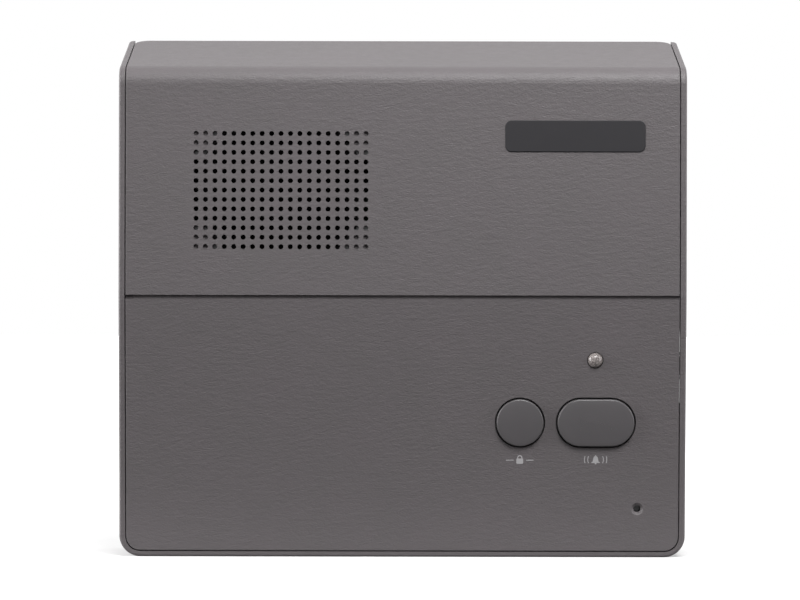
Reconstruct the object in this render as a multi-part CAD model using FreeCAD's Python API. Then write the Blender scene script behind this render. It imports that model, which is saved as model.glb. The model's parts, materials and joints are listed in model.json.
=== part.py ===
"""Teller window intercom: a bent front cover dropped into a tray-shaped rear housing.

Millimetres. +X is the user's right, the front faces -Y, +Z is up. The origin is on the
surface that the case stands on, under the middle of the case.
"""
import FreeCAD, Part
import math
import os

from FreeCAD import Placement, Rotation, Vector

# Case outline
case_width = 188.0
case_depth = 46.0
case_height = 174.47        # at the back
top_slope = 15.5            # degrees, the top wall rises towards the back
bend_radius = 6.1
groove_height = 86.2
lower_tilt = 4.0            # degrees, the lower panel falls back towards its foot
corner_radius = 7.0
back_edge_radius = 2.0
rim_round = 0.8

# Walls and the seam between the two shells
side_wall = 2.0
bottom_wall = 1.75
back_wall = 2.4
seam = 0.25
cover_wall = 2.5
cover_round = 0.4
cover_rear_radius = 5.0
skirt_wall = 1.6
skirt_depth = 5.0
groove_width = 1.5
groove_depth = 1.0

# Fits
slip = 0.1                  # radial, parts that drop in place
running = 0.05              # radial, parts that turn or slide
seat_gap = 0.1              # a moving face and the face it rests on

# Speaker and its grille
speaker_from_left = 53.7    # and halfway up the flat of the upper panel
speaker_rim_width = 2.0
speaker_rim_thick = 1.2
basket_waist_radius = 15.0
basket_depth = 10.5
basket_wall = 0.8
magnet_radius = 16.0
magnet_thick = 8.0
gasket_width = 3.0
gasket_thick = 1.0
cone_throat_radius = 6.0
cone_roll_radius = 23.5
cone_edge_gap = 1.0         # from the roll to the inside of the rim
cone_depth = 7.0
cone_thick = 0.4
cap_rise = 2.6
locating_ring_wall = 1.2
locating_ring_height = 2.0
lug_width = 13.0
lug_length = 6.0
tag_width = 2.0
tag_length = 5.0
tag_thick = 0.8
tag_spacing = 6.0
hole_pitch = 3.12
hole_radius = 0.83
hole_columns = 19
hole_rows = 13
blind_block = 2             # corner holes that stop short, over each speaker boss
blind_depth = 1.0
speaker_boss_radius = 2.5
speaker_boss_gap = 2.59     # between a boss and the rim of the speaker
speaker_pilot_depth = 0.6   # how far the pilot reaches into the panel
clamp_reach = 3.5           # how far a clamp stands out past its boss

# Badge plate, bare
badge_from_right = 36.95
badge_below_crest = 22.15
badge_width = 46.3
badge_height = 10.2
badge_corner = 2.0
badge_recess = 1.0
badge_proud = 0.3

# Keys: how far below the groove, measured along the lower panel
key_drop = 41.5
key_travel = 2.0
key_proud = 1.1
key_margin = 0.62           # between a cap and its opening
key_round = 0.45
flange_width = 1.85
flange_thick = 1.4
key_gap = 4.7               # between the two caps
privacy_radius = 7.75
call_from_right = 29.85
call_length = 25.4
call_height = 15.6
guide_spacing = 21.0
guide_radius = 1.2
stem_radius = 3.0
stem_length = 4.0
plunger_side = 3.0
plunger_length = 5.0
switch_side = 8.5
switch_height = 5.0
spring_radius = 7.4
spring_wire = 0.5
spring_turns = 6

# Status lamp and microphone
led_drop = 20.75
led_radius = 2.5
led_body = 5.2
led_flange_radius = 2.9
led_flange_thick = 1.0
led_proud = 1.5
led_hole_radius = 2.7
led_stand_radius = 2.3
leg_side = 0.5
leg_spacing = 2.54
leg_tail = 1.5
mic_from_right = 16.0
mic_rise = 16.2             # above the foot of the lower panel, along it
mic_hole_radius = 1.2
mic_sink_radius = 2.1
mic_sink_depth = 0.7
capsule_radius = 4.85
capsule_length = 6.0
boot_wall = 1.15
boot_front = 1.2
mic_ring_wall = 1.2
mic_ring_height = 5.5

# Volume thumbwheel behind the right wall
wheel_drop = 23.3
wheel_radius = 13.0
wheel_to_stand = 1.15       # between the wheel's rim and the stand of the lamp
wheel_inset = 0.7           # from the outside of the case to the wheel's rim
wheel_front = 9.0           # below the face of the panel
wheel_thick = 5.0
wheel_notches = 36
notch_radius = 0.5
wheel_bevel = 0.35
shaft_radius = 3.0
pot_radius = 8.0
pot_thick = 6.5
pot_floor = 1.0
board_hole_margin = 0.5
wheel_screw_head = 4.4
wheel_screw_head_thick = 1.4
wheel_screw_radius = 1.0
wheel_screw_length = 6.0
slot_length = 24.0
slot_start = 3.0
slot_depth = 13.0
dish_depth = 1.8
dish_length = 31.0
dish_ramp = 20.0
dish_end = 2.0

# Main board
board_from_left = 14.0
board_from_right = 6.0
board_top = 6.0             # below the groove
board_foot = 12.7           # above the foot of the lower panel, along it
board_thick = 1.6
board_gap = 13.5            # between the inside of the panel and the board
left_posts_from_left = 19.0
middle_posts_from_right = 86.0
right_post_from_right = 10.0
right_post_drop = 52.0
post_from_board_edge = 6.0
post_radius = 3.0
board_screw_radius = 1.25
board_screw_length = 6.0
board_screw_head = 2.5
board_screw_head_thick = 1.6

# What the main board carries, by its distance from a side and its drop below the groove
core_from_left = 39.0
core_drop = 48.0
core_width = 22.0
core_height = 18.0
core_thick = 5.0
coil_width = 12.0
coil_height = 14.0
coil_thick = 10.0
capacitors_from_left = 67.0
capacitors_drop = 50.0
capacitor_pitch = 11.0
capacitor_row_pitch = 12.0
capacitor_radius = 4.0
capacitor_height = 10.0
capacitor_bead = 0.5
capacitor_bead_height = 1.7
amplifier_from_left = 64.0
amplifier_drop = 34.0
logic_from_right = 80.0
logic_drop = 28.0
chip_width = 6.4
amplifier_length = 9.6
logic_length = 19.2
chip_thick = 3.3
chip_standoff = 0.65
amplifier_pins_per_side = 4
logic_pins_per_side = 7
pin_pitch = 2.54
pin_width = 0.6
pin_reach = 0.7
pin_rise = 1.65
resistors_to_spring = 2.35  # from the last one to the spring of the privacy key
resistors_drop = 40.0
resistor_count = 5
resistor_pitch = 4.0
resistor_radius = 1.1
resistor_length = 6.5
resistor_lead = 0.3
socket_width = 7.5
socket_depth = 5.8
socket_height = 6.0
socket_mouth = 1.0
speaker_socket_drop = 27.0
terminal_socket_x = -6.0
terminal_socket_drop = 18.0

# Terminals for the wiring, behind a window in the back wall
terminal_above_groove = 17.5
window_width = 28.0
window_height = 26.0
window_drop = 5.0           # of its middle, below the middle of the terminals
terminal_board_width = 46.0
terminal_board_height = 30.0
terminal_standoff = 13.0
terminal_boss_radius = 3.0
terminal_boss_spacing = 36.0
terminal_count = 4
terminal_pitch = 5.08
terminal_block_height = 10.2
terminal_block_depth = 12.0
terminal_screw_radius = 1.5
terminal_screw_thick = 1.2
terminal_screw_sink = 2.0
terminal_screw_rise = 2.0
wire_mouth = 2.6
lead_radius = 0.55
terminal_lead_pitch = 1.6
speaker_lead_pitch = 3.0
bend_share = 0.45           # of the shorter run, taken up by an arc at each of its ends

# Fasteners and feet of the case
case_screw_from_side = 7.5
case_screw_low = 8.0
case_screw_below_crest = 13.0
case_post_radius = 3.3
case_boss_radius = 4.0
case_boss_height = 10.0
case_screw_radius = 1.5
case_screw_length = 16.0
case_head_radius = 2.8
case_head_thick = 2.2
case_head_sink = 5.0
foot_radius = 6.0
foot_height = 2.5
foot_round = 0.6
foot_from_side = 16.0
foot_low = 20.0
foot_below_crest = 25.0
wall_hole_spacing = 83.5
wall_hole_z = 50.0
wall_hole_radius = 2.25
keyhole_below_crest = 13.0
keyhole_head_radius = 4.25
keyhole_slot_radius = 2.25
keyhole_length = 8.0

# Screw heads
head_round = 0.5
recess_width = 0.6
recess_depth = 0.8
recess_margin = 1.0

# Worked out from the above
overall_depth = badge_proud + case_depth + foot_height
face_y = badge_proud - overall_depth / 2
back_y = face_y + case_depth
half_width = case_width / 2
cover_half = half_width - side_wall - seam
cover_bottom = bottom_wall + seam
cover_corner = corner_radius - side_wall - seam
tilt = math.radians(lower_tilt)
slope = math.radians(top_slope)
crest_height = case_height - case_depth * math.tan(slope)    # where the upper panel meets the top wall
lower_length = groove_height / math.cos(tilt)
speaker_x = speaker_from_left - half_width
bend_foot = crest_height - bend_radius * math.tan((math.pi / 2 - slope) / 2)
speaker_z = (groove_height + bend_foot) / 2
speaker_radius = cone_roll_radius + cone_edge_gap + speaker_rim_width
badge_x = half_width - badge_from_right
badge_z = crest_height - badge_below_crest
wheel_x = half_width - wheel_inset - wheel_radius
led_x = wheel_x - wheel_radius - wheel_to_stand - led_stand_radius
call_x = half_width - call_from_right
privacy_x = call_x - call_length / 2 - key_gap - privacy_radius
mic_x = half_width - mic_from_right
mic_drop = lower_length - mic_rise
board_left = board_from_left - half_width
board_right = half_width - board_from_right
board_bottom = lower_length - board_foot
left_posts_x = left_posts_from_left - half_width
middle_posts_x = half_width - middle_posts_from_right
post_drops = (board_top + post_from_board_edge, board_bottom - post_from_board_edge)
board_posts = [(x, drop) for x in (left_posts_x, middle_posts_x) for drop in post_drops]
board_posts.append((half_width - right_post_from_right, right_post_drop))
core_spot = (core_from_left - half_width, -core_drop)
capacitors_x = capacitors_from_left - half_width
capacitor_spots = [(capacitors_x + column * capacitor_pitch, -capacitors_drop) for column in range(3)]
capacitor_spots.append((capacitors_x, -capacitors_drop - capacitor_row_pitch))
amplifier_spot = (amplifier_from_left - half_width, -amplifier_drop)
logic_spot = (half_width - logic_from_right, -logic_drop)
last_resistor_x = privacy_x - spring_radius - spring_wire / 2 - resistors_to_spring - resistor_radius
terminal_z = groove_height + terminal_above_groove
case_screw_x = half_width - case_screw_from_side
case_screw_high = crest_height - case_screw_below_crest
foot_x = half_width - foot_from_side
foot_high = crest_height - foot_below_crest
keyhole_z = crest_height - keyhole_below_crest
board_front = -cover_wall - board_gap
board_back = board_front - board_thick
cone_front = -cover_wall - gasket_thick
basket_front = cone_front - cone_thick
rim_back = basket_front - speaker_rim_thick
flange_front = -cover_wall - seat_gap
flange_back = flange_front - flange_thick
stem_end = flange_back - stem_length
plunger_floor = stem_end - plunger_length - key_travel - seat_gap
switch_front = board_front + switch_height
led_base = led_proud - led_radius - led_body - led_flange_thick
capsule_back = -cover_wall - boot_front - capsule_length
wheel_back = -wheel_front - wheel_thick
terminal_board_rear = back_y - back_wall - terminal_standoff
terminal_board_front = terminal_board_rear - board_thick
boss_front = back_y - back_wall - case_boss_height
far = 2 * case_width        # longer than the case, for cuts that run right through
past = 1.0                  # how far a cut runs past the face that it opens


# ---------------------------------------------------------------- frames and plain solids

def on_upper(shape):
    """Lays a solid drawn as (x, height, outward) on the upper panel."""
    frame = Placement(Vector(0, face_y, 0), Rotation(Vector(1, 0, 0), 90))
    moved = shape.copy()
    moved.Placement = frame.multiply(moved.Placement)
    return moved


def on_lower(shape):
    """Lays a solid drawn as (x, minus the drop below the groove, outward) on the lower panel."""
    frame = Placement(Vector(0, face_y, groove_height), Rotation(Vector(1, 0, 0), 90 + lower_tilt))
    moved = shape.copy()
    moved.Placement = frame.multiply(moved.Placement)
    return moved


def lower_point(x, drop, outward):
    """The place of a point of the lower panel in the case's own frame."""
    y = face_y + drop * math.sin(tilt) - outward * math.cos(tilt)
    z = groove_height - drop * math.cos(tilt) - outward * math.sin(tilt)
    return Vector(x, y, z)


def rod(radius, spot, low, high):
    return Part.makeCylinder(radius, high - low, Vector(spot[0], spot[1], low))


def block(width, height, spot, low, high):
    corner = Vector(spot[0] - width / 2, spot[1] - height / 2, low)
    return Part.makeBox(width, height, high - low, corner)


def rod_y(radius, x, z, front, back):
    return Part.makeCylinder(radius, back - front, Vector(x, front, z), Vector(0, 1, 0))


def block_y(width, height, x, z, front, back):
    return Part.makeBox(width, back - front, height, Vector(x - width / 2, front, z - height / 2))


def rounded_face(width, height, radius, spot):
    """A rectangle with round corners about spot, in the plane of the drawing."""
    arcs = []
    for turn, (i, j) in enumerate([(1, 1), (-1, 1), (-1, -1), (1, -1)]):
        centre = Vector(spot[0] + i * (width / 2 - radius), spot[1] + j * (height / 2 - radius), 0)
        angles = [(turn + half / 2) * math.pi / 2 for half in range(3)]
        arcs.append([centre + Vector(math.cos(angle), math.sin(angle), 0) * radius for angle in angles])
    edges = []
    for arc, following in zip(arcs, arcs[1:] + arcs[:1]):
        edges.append(Part.Arc(*arc).toShape())
        if arc[2].distanceToPoint(following[0]) > 1e-6:
            edges.append(Part.LineSegment(arc[2], following[0]).toShape())
    return Part.Face(Part.Wire(edges))


def rounded_slab(width, height, radius, spot, low, high):
    face = rounded_face(width, height, radius, spot)
    face.translate(Vector(0, 0, low))
    return face.extrude(Vector(0, 0, high - low))


def ring(outer, inner, spot, low, high):
    return rod(outer, spot, low, high).cut(rod(inner, spot, low, high))


def polygon_prism(points, direction):
    return Part.Face(Part.makePolygon(points + points[:1])).extrude(direction)


def fused(shapes):
    return shapes[0].multiFuse(shapes[1:]).removeSplitter() if len(shapes) > 1 else shapes[0]


def edges_where(shape, test):
    """The edges whose two ends and middle all pass the test."""
    found = []
    for edge in shape.Edges:
        middle = edge.valueAt((edge.FirstParameter + edge.LastParameter) / 2)
        points = [vertex.Point for vertex in edge.Vertexes] + [middle]
        if all(test(point) for point in points):
            found.append(edge)
    return found


def near(a, b):
    return abs(a - b) < 1e-4


def cross_screw(shank, length, head, head_thick):
    """A screw along the drawing's Z, its head on top of z = 0, with a cross recess."""
    top = rod(head, (0, 0), 0, head_thick)
    top = top.makeFillet(head_round, edges_where(top, lambda p: near(p.z, head_thick)))
    body = top.fuse(rod(shank, (0, 0), -length, 0)).removeSplitter()
    reach = 2 * (head - recess_margin)
    for width, height in ((reach, recess_width), (recess_width, reach)):
        body = body.cut(block(width, height, (0, 0), head_thick - recess_depth, head_thick + past))
    return body


def copies(shape, frames):
    """One compound of the same solid set down at each frame."""
    made = []
    for frame in frames:
        one = shape.copy()
        one.Placement = frame.multiply(one.Placement)
        made.append(one)
    return Part.makeCompound(made)


# ---------------------------------------------------------------- the case's side profile

def front_at(z, inset):
    """Y of the lower panel at a height, inset from its face."""
    return face_y + (inset + (groove_height - z) * math.sin(tilt)) / math.cos(tilt)


def top_at(y, inset):
    """Z of the top wall at a depth, inset from its face."""
    return crest_height + ((y - face_y) * math.sin(slope) - inset) / math.cos(slope)


def profile_prism(inset, back, bottom, half):
    """The side profile, inset from its front and top faces, as a solid across the case."""
    bend = Vector(0, face_y + inset, groove_height + inset * math.tan(tilt / 2))
    crest = Vector(0, face_y + inset, top_at(face_y + inset, inset))
    radius = max(bend_radius - inset, rim_round)
    reach = radius * math.tan((math.pi / 2 - slope) / 2)
    arc_start = crest - Vector(0, 0, reach)
    arc_end = crest + Vector(0, math.cos(slope), math.sin(slope)) * reach
    centre = arc_start + Vector(0, radius, 0)
    towards = crest - centre
    arc_middle = centre + towards * (radius / towards.Length)
    foot = Vector(0, front_at(bottom, inset), bottom)
    rear_top = Vector(0, back, top_at(back, inset))
    rear_foot = Vector(0, back, bottom)
    edges = [
        Part.LineSegment(foot, bend).toShape(),
        Part.LineSegment(bend, arc_start).toShape(),
        Part.Arc(arc_start, arc_middle, arc_end).toShape(),
        Part.LineSegment(arc_end, rear_top).toShape(),
        Part.LineSegment(rear_top, rear_foot).toShape(),
        Part.LineSegment(rear_foot, foot).toShape(),
    ]
    face = Part.Face(Part.Wire(edges))
    face.translate(Vector(-half, 0, 0))
    return face.extrude(Vector(2 * half, 0, 0))


def bottom_rounded(half, bottom, radius, front, back):
    """The front outline with its two lower corners rounded, as a solid along Y."""
    height = case_height + far
    face = rounded_face(2 * half, 2 * height, radius, (0, height))
    slab = face.extrude(Vector(0, 0, back - front))
    slab.Placement = Placement(Vector(0, back, bottom), Rotation(Vector(1, 0, 0), 90))
    return slab


# ---------------------------------------------------------------- rear housing

def volume_slot():
    """The slot in the right wall and the finger dish around it."""
    drop = -wheel_drop
    slot = block(4 * side_wall, slot_length, (half_width, drop), -slot_start - slot_depth, -slot_start)
    floor = half_width - dish_depth
    deep = -slot_start - slot_depth
    outline = [
        Vector(half_width + past, 0, -slot_start),
        Vector(floor, 0, -slot_start),
        Vector(floor, 0, deep),
        Vector(half_width, 0, deep - dish_ramp),
        Vector(half_width + past, 0, deep - dish_ramp),
    ]
    dish = polygon_prism(outline, Vector(0, dish_length, 0))
    dish.translate(Vector(0, drop - dish_length / 2, 0))
    ends = [
        Vector(floor, drop - dish_length / 2 + dish_end, 0),
        Vector(half_width + past, drop - dish_length / 2, 0),
        Vector(half_width + past, drop + dish_length / 2, 0),
        Vector(floor, drop + dish_length / 2 - dish_end, 0),
    ]
    sides = polygon_prism(ends, Vector(0, 0, -far))
    return on_lower(slot.fuse(dish.common(sides)))


def keyhole(x):
    inside = back_y - back_wall - past
    outside = back_y + past
    head = rod_y(keyhole_head_radius, x, keyhole_z, inside, outside)
    middle = keyhole_z + keyhole_length / 2
    neck = block_y(2 * keyhole_slot_radius, keyhole_length, x, middle, inside, outside)
    end = rod_y(keyhole_slot_radius, x, keyhole_z + keyhole_length, inside, outside)
    return fused([head, neck, end])


def case_screw_places():
    return [(side * case_screw_x, z) for z in (case_screw_low, case_screw_high) for side in (-1, 1)]


def rear_housing():
    shell = profile_prism(0, back_y, 0, half_width)
    shell = shell.common(bottom_rounded(half_width, 0, corner_radius, face_y - far, back_y))
    back_edges = edges_where(shell, lambda p: near(p.y, back_y)
                             and (p.z < case_height - past or near(abs(p.x), half_width)))
    shell = shell.makeFillet(back_edge_radius, back_edges)
    cavity = bottom_rounded(half_width - side_wall, bottom_wall, corner_radius - side_wall,
                            face_y - far, back_y - back_wall)
    shell = shell.cut(cavity)
    back_top = top_at(back_y - back_wall, cover_wall + seam)
    over = Part.makeBox(case_width - 2 * side_wall, far, far,
                        Vector(side_wall - half_width, back_y - far / 2, back_top))
    shell = shell.cut(over)
    rim = edges_where(shell, lambda p: near(abs(p.x), half_width)
                      and p.y < back_y - back_edge_radius - past and p.z > corner_radius - past)
    shell = shell.makeFillet(rim_round, rim)
    bosses = [rod_y(case_boss_radius, x, z, boss_front, back_y - back_wall / 2)
              for x, z in case_screw_places()]
    bosses += [rod_y(terminal_boss_radius, side * terminal_boss_spacing / 2, terminal_z,
                     terminal_board_rear, back_y - back_wall / 2) for side in (-1, 1)]
    shell = fused([shell] + bosses)
    cuts = [volume_slot(), keyhole(-wall_hole_spacing / 2), keyhole(wall_hole_spacing / 2)]
    for x, z in case_screw_places():
        cuts.append(rod_y(case_screw_radius + slip, x, z, boss_front - past, back_y + past))
        cuts.append(rod_y(case_head_radius + slip, x, z, back_y - case_head_sink, back_y + past))
    for side in (-1, 1):
        x = side * wall_hole_spacing / 2
        cuts.append(rod_y(wall_hole_radius, x, wall_hole_z, back_y - back_wall - past, back_y + past))
        x = side * terminal_boss_spacing / 2
        pilot = terminal_board_rear + board_screw_length
        cuts.append(rod_y(board_screw_radius + running, x, terminal_z, terminal_board_rear - past, pilot))
    cuts.append(block_y(window_width, window_height, 0, terminal_z - window_drop,
                        back_y - back_wall - past, back_y + past))
    return shell.cut(Part.makeCompound(cuts))


def case_screws():
    screw = cross_screw(case_screw_radius, case_screw_length, case_head_radius, case_head_thick)
    turn = Rotation(Vector(1, 0, 0), -90)
    frames = [Placement(Vector(x, back_y - case_head_sink, z), turn) for x, z in case_screw_places()]
    return copies(screw, frames)


def rubber_feet():
    foot = rod(foot_radius, (0, 0), 0, foot_height)
    foot = foot.makeFillet(foot_round, edges_where(foot, lambda p: near(p.z, foot_height)))
    turn = Rotation(Vector(1, 0, 0), -90)
    places = [(side * foot_x, z) for z in (foot_low, foot_high) for side in (-1, 1)]
    return copies(foot, [Placement(Vector(x, back_y, z), turn) for x, z in places])


# ---------------------------------------------------------------- front cover

def cover_shell():
    """Upper panel, lower panel and top wall in one moulding, with a skirt at the sides and foot."""
    shell = profile_prism(0, back_y, cover_bottom, cover_half)
    shell = shell.common(bottom_rounded(cover_half, cover_bottom, cover_corner, face_y - far, back_y))
    plan = rounded_slab(2 * cover_half, 2 * far, cover_rear_radius, (0, back_y - far), 0, far)
    shell = shell.common(plan)
    inner_half = cover_half - skirt_wall
    inner_bottom = cover_bottom + skirt_wall
    pocket = profile_prism(cover_wall, back_y + far, inner_bottom, inner_half)
    pocket = pocket.common(bottom_rounded(inner_half, inner_bottom, cover_corner - skirt_wall,
                                          face_y - far, back_y + 2 * far))
    behind = profile_prism(cover_wall + skirt_depth, back_y + far, -far, half_width)
    at_back = Part.makeBox(case_width, far, far, Vector(-half_width, back_y - back_wall - seam, 0))
    under_top = profile_prism(cover_wall, back_y + far, -far, half_width).common(at_back)
    return shell.cut(pocket).cut(behind).cut(under_top)


def on_skin(point):
    """True for a point on the outside of the lower panel, the upper panel, the bend or the top wall."""
    from_bend = math.hypot(point.y - face_y - bend_radius, point.z - bend_foot)
    return (near(point.y, front_at(point.z, 0)) or near(point.y, face_y)
            or near(from_bend, bend_radius) or near(point.z, top_at(point.y, 0)))


def rounded_cover_shell():
    shell = cover_shell()
    side_edges = edges_where(shell, lambda p: near(abs(p.x), cover_half) and on_skin(p))
    return shell.makeFillet(cover_round, side_edges)


def grille_holes():
    """The speaker grille; a block of holes in each corner stops short, over the bosses."""
    holes = []
    for column in range(hole_columns):
        for row in range(hole_rows):
            x = speaker_x + (column - (hole_columns - 1) / 2) * hole_pitch
            z = speaker_z + (row - (hole_rows - 1) / 2) * hole_pitch
            at_side = min(column, hole_columns - 1 - column) < blind_block
            at_end = min(row, hole_rows - 1 - row) < blind_block
            depth = blind_depth if at_side and at_end else cover_wall + past
            holes.append(rod(hole_radius, (x, z), -depth, past))
    return Part.makeCompound(holes)


def speaker_boss_places():
    """Just clear of the speaker's rim, towards the corners of the grille."""
    towards = Vector(hole_columns - blind_block, hole_rows - blind_block, 0).normalize()
    out = towards * (speaker_radius + speaker_boss_radius + speaker_boss_gap)
    return [(speaker_x + i * out.x, speaker_z + j * out.y) for i in (-1, 1) for j in (-1, 1)]


def upper_cuts():
    badge = rounded_slab(badge_width + 2 * slip, badge_height + 2 * slip, badge_corner + slip,
                         (badge_x, badge_z), -badge_recess, past)
    pilots = [rod(board_screw_radius + running, spot, rim_back - past, -cover_wall + speaker_pilot_depth)
              for spot in speaker_boss_places()]
    return on_upper(Part.makeCompound([badge] + pilots + grille_holes().SubShapes))


def lower_cuts():
    grown = 2 * key_margin
    cuts = [
        rod(privacy_radius + key_margin, (privacy_x, -key_drop), -cover_wall - past, past),
        rounded_slab(call_length + grown, call_height + grown, call_height / 2 + key_margin,
                     (call_x, -key_drop), -cover_wall - past, past),
        rod(led_hole_radius, (led_x, -led_drop), -cover_wall - past, past),
        rod(mic_hole_radius, (mic_x, -mic_drop), -cover_wall - past, past),
        Part.makeCone(mic_hole_radius, mic_sink_radius + slip, mic_sink_depth + slip,
                      Vector(mic_x, -mic_drop, -mic_sink_depth)),
    ]
    for x, drop in board_posts:
        cuts.append(rod(board_screw_radius + running, (x, -drop), board_front - past,
                        board_front + board_screw_length))
    return on_lower(Part.makeCompound(cuts))


def case_posts():
    """Posts behind the cover's corners that take the case screws."""
    posts = []
    for x, z in case_screw_places():
        start = max(face_y, front_at(z, 0)) + cover_wall / 2
        posts.append(rod_y(case_post_radius, x, z, start, boss_front))
    return posts


def front_cover():
    shell = rounded_cover_shell()
    upper = [rod(speaker_boss_radius, spot, rim_back, -cover_wall / 2) for spot in speaker_boss_places()]
    ring_inner = speaker_radius + slip
    upper.append(ring(ring_inner + locating_ring_wall, ring_inner, (speaker_x, speaker_z),
                      -cover_wall - locating_ring_height, -cover_wall / 2))
    gap = block(lug_width + 4 * slip, speaker_radius, (speaker_x, speaker_z - speaker_radius),
                -cover_wall - locating_ring_height - past, -cover_wall)
    upper[-1] = upper[-1].cut(gap)
    lower = [rod(post_radius, (x, -drop), board_front, -cover_wall / 2) for x, drop in board_posts]
    boot_radius = capsule_radius + boot_wall + slip
    lower.append(ring(boot_radius + mic_ring_wall, boot_radius, (mic_x, -mic_drop),
                      -cover_wall - mic_ring_height, -cover_wall / 2))
    parts = [shell] + [on_upper(one) for one in upper] + [on_lower(one) for one in lower]
    body = fused(parts + case_posts())
    groove = block_y(far, groove_width, 0, groove_height, face_y - past, face_y + groove_depth)
    pilots = [rod_y(case_screw_radius + running, x, z, back_y - case_head_sink - case_screw_length - past,
                    boss_front + past) for x, z in case_screw_places()]
    body = body.cut(groove).cut(Part.makeCompound(pilots))
    return body.cut(lower_cuts()).cut(upper_cuts())


def badge_plate():
    plate = rounded_slab(badge_width, badge_height, badge_corner, (badge_x, badge_z),
                         -badge_recess, badge_proud)
    top = edges_where(plate, lambda p: near(p.z, badge_proud))
    return on_upper(plate.makeFillet(badge_proud / 2, top))


# ---------------------------------------------------------------- keys

def key_cap(outline, flange):
    """A cap with a rounded top edge and the flange that keeps it behind the panel."""
    cap = outline(0, flange_back, key_proud)
    cap = cap.makeFillet(key_round, edges_where(cap, lambda p: near(p.z, key_proud)))
    return cap.fuse(flange)


def privacy_button():
    spot = (privacy_x, -key_drop)
    flange = rod(privacy_radius + flange_width, spot, flange_back, flange_front)
    cap = key_cap(lambda grow, low, high: rod(privacy_radius + grow, spot, low, high), flange)
    return on_lower(fused([cap, rod(stem_radius, spot, stem_end, flange_back)]))


def guide_spots():
    return [(call_x + side * guide_spacing / 2, -key_drop) for side in (-1, 1)]


def call_button():
    spot = (call_x, -key_drop)

    def outline(grow, low, high):
        return rounded_slab(call_length + 2 * grow, call_height + 2 * grow, call_height / 2 + grow,
                            spot, low, high)

    cap = key_cap(outline, outline(flange_width, flange_back, flange_front))
    guides = [rod(guide_radius, place, board_back, flange_back) for place in guide_spots()]
    return on_lower(fused([cap, rod(stem_radius, spot, stem_end, flange_back)] + guides))


def plunger(x):
    spot = (x, -key_drop)
    return on_lower(block(plunger_side, plunger_side, spot, stem_end - plunger_length, stem_end))


def key_switch(x):
    spot = (x, -key_drop)
    body = block(switch_side, switch_side, spot, board_front, switch_front)
    side = plunger_side + 2 * slip
    return on_lower(body.cut(block(side, side, spot, plunger_floor, switch_front + past)))


def key_spring(x):
    """A coil spring from the board to the key's flange."""
    low = board_front + spring_wire / 2 + seat_gap
    high = flange_back - spring_wire / 2 - seat_gap
    pitch = (high - low) / spring_turns
    helix = Part.makeLongHelix(pitch, high - low, spring_radius)
    start = Vector(spring_radius, 0, 0)
    section = Part.Wire(Part.makeCircle(spring_wire / 2, start, Vector(0, 1, 0)))
    coil = Part.Wire(helix.Edges).makePipeShell([section], True, True)
    coil.translate(Vector(x, -key_drop, low))
    return on_lower(coil)


# ---------------------------------------------------------------- lamp and microphone

def leg_places(x, drop):
    return [(x + side * leg_spacing / 2, -drop) for side in (-1, 1)]


def status_led():
    spot = (led_x, -led_drop)
    flange_top = led_base + led_flange_thick
    dome = led_proud - led_radius
    body = [rod(led_flange_radius, spot, led_base, flange_top), rod(led_radius, spot, flange_top, dome)]
    body.append(Part.makeSphere(led_radius, Vector(spot[0], spot[1], dome)))
    body += [block(leg_side, leg_side, place, board_back - leg_tail, led_base)
             for place in leg_places(led_x, led_drop)]
    return on_lower(fused(body))


def led_stand():
    body = rod(led_stand_radius, (led_x, -led_drop), board_front, led_base)
    side = leg_side + 2 * slip
    holes = [block(side, side, place, board_front - past, led_base + past)
             for place in leg_places(led_x, led_drop)]
    return on_lower(body.cut(Part.makeCompound(holes)))


def microphone_capsule():
    spot = (mic_x, -mic_drop)
    can = rod(capsule_radius, spot, capsule_back, capsule_back + capsule_length)
    legs = [block(leg_side, leg_side, place, board_back - leg_tail, capsule_back)
            for place in leg_places(mic_x, mic_drop)]
    return on_lower(fused([can] + legs))


def microphone_boot():
    spot = (mic_x, -mic_drop)
    cup = rod(capsule_radius + boot_wall, spot, capsule_back, -cover_wall)
    cup = cup.cut(rod(capsule_radius + running, spot, capsule_back - past, -cover_wall - boot_front))
    return on_lower(cup.cut(rod(mic_hole_radius, spot, -cover_wall - boot_front - past, 0)))


# ---------------------------------------------------------------- speaker

def revolved(points, spot):
    """A closed outline of (radius, outward) points turned about the axis through spot."""
    corners = [Vector(radius, 0, outward) for radius, outward in points]
    face = Part.Face(Part.makePolygon(corners + corners[:1]))
    solid = face.revolve(Vector(0, 0, 0), Vector(0, 0, 1), 360)
    solid.translate(Vector(spot[0], spot[1], 0))
    return solid


def speaker_spot():
    return (speaker_x, speaker_z)


def speaker_basket():
    inner_rim = cone_roll_radius + cone_edge_gap
    waist = basket_front - basket_depth
    points = [
        (speaker_radius, basket_front), (inner_rim, basket_front),
        (basket_waist_radius - basket_wall, waist + basket_wall), (0, waist + basket_wall),
        (0, waist), (basket_waist_radius, waist), (inner_rim + basket_wall, rim_back),
        (speaker_radius, rim_back),
    ]
    lug = block(lug_width, lug_length + speaker_rim_width,
                (speaker_x, speaker_z - speaker_radius - lug_length / 2 + speaker_rim_width / 2),
                rim_back, basket_front)
    trim = rod(speaker_radius - speaker_rim_width / 2, speaker_spot(), rim_back - past, basket_front + past)
    return on_upper(fused([revolved(points, speaker_spot()), lug.cut(trim)]))


def speaker_magnet():
    back = basket_front - basket_depth
    return on_upper(rod(magnet_radius, speaker_spot(), back - magnet_thick, back))


def speaker_cone():
    """A paper cone whose flat edge is glued between the basket's rim and the gasket."""
    throat = cone_front - cone_depth
    points = [
        (speaker_radius, cone_front), (cone_roll_radius, cone_front),
        (cone_throat_radius, throat + cone_thick), (cone_throat_radius, throat),
        (cone_roll_radius - cone_thick, basket_front), (speaker_radius, basket_front),
    ]
    return on_upper(revolved(points, speaker_spot()))


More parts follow.
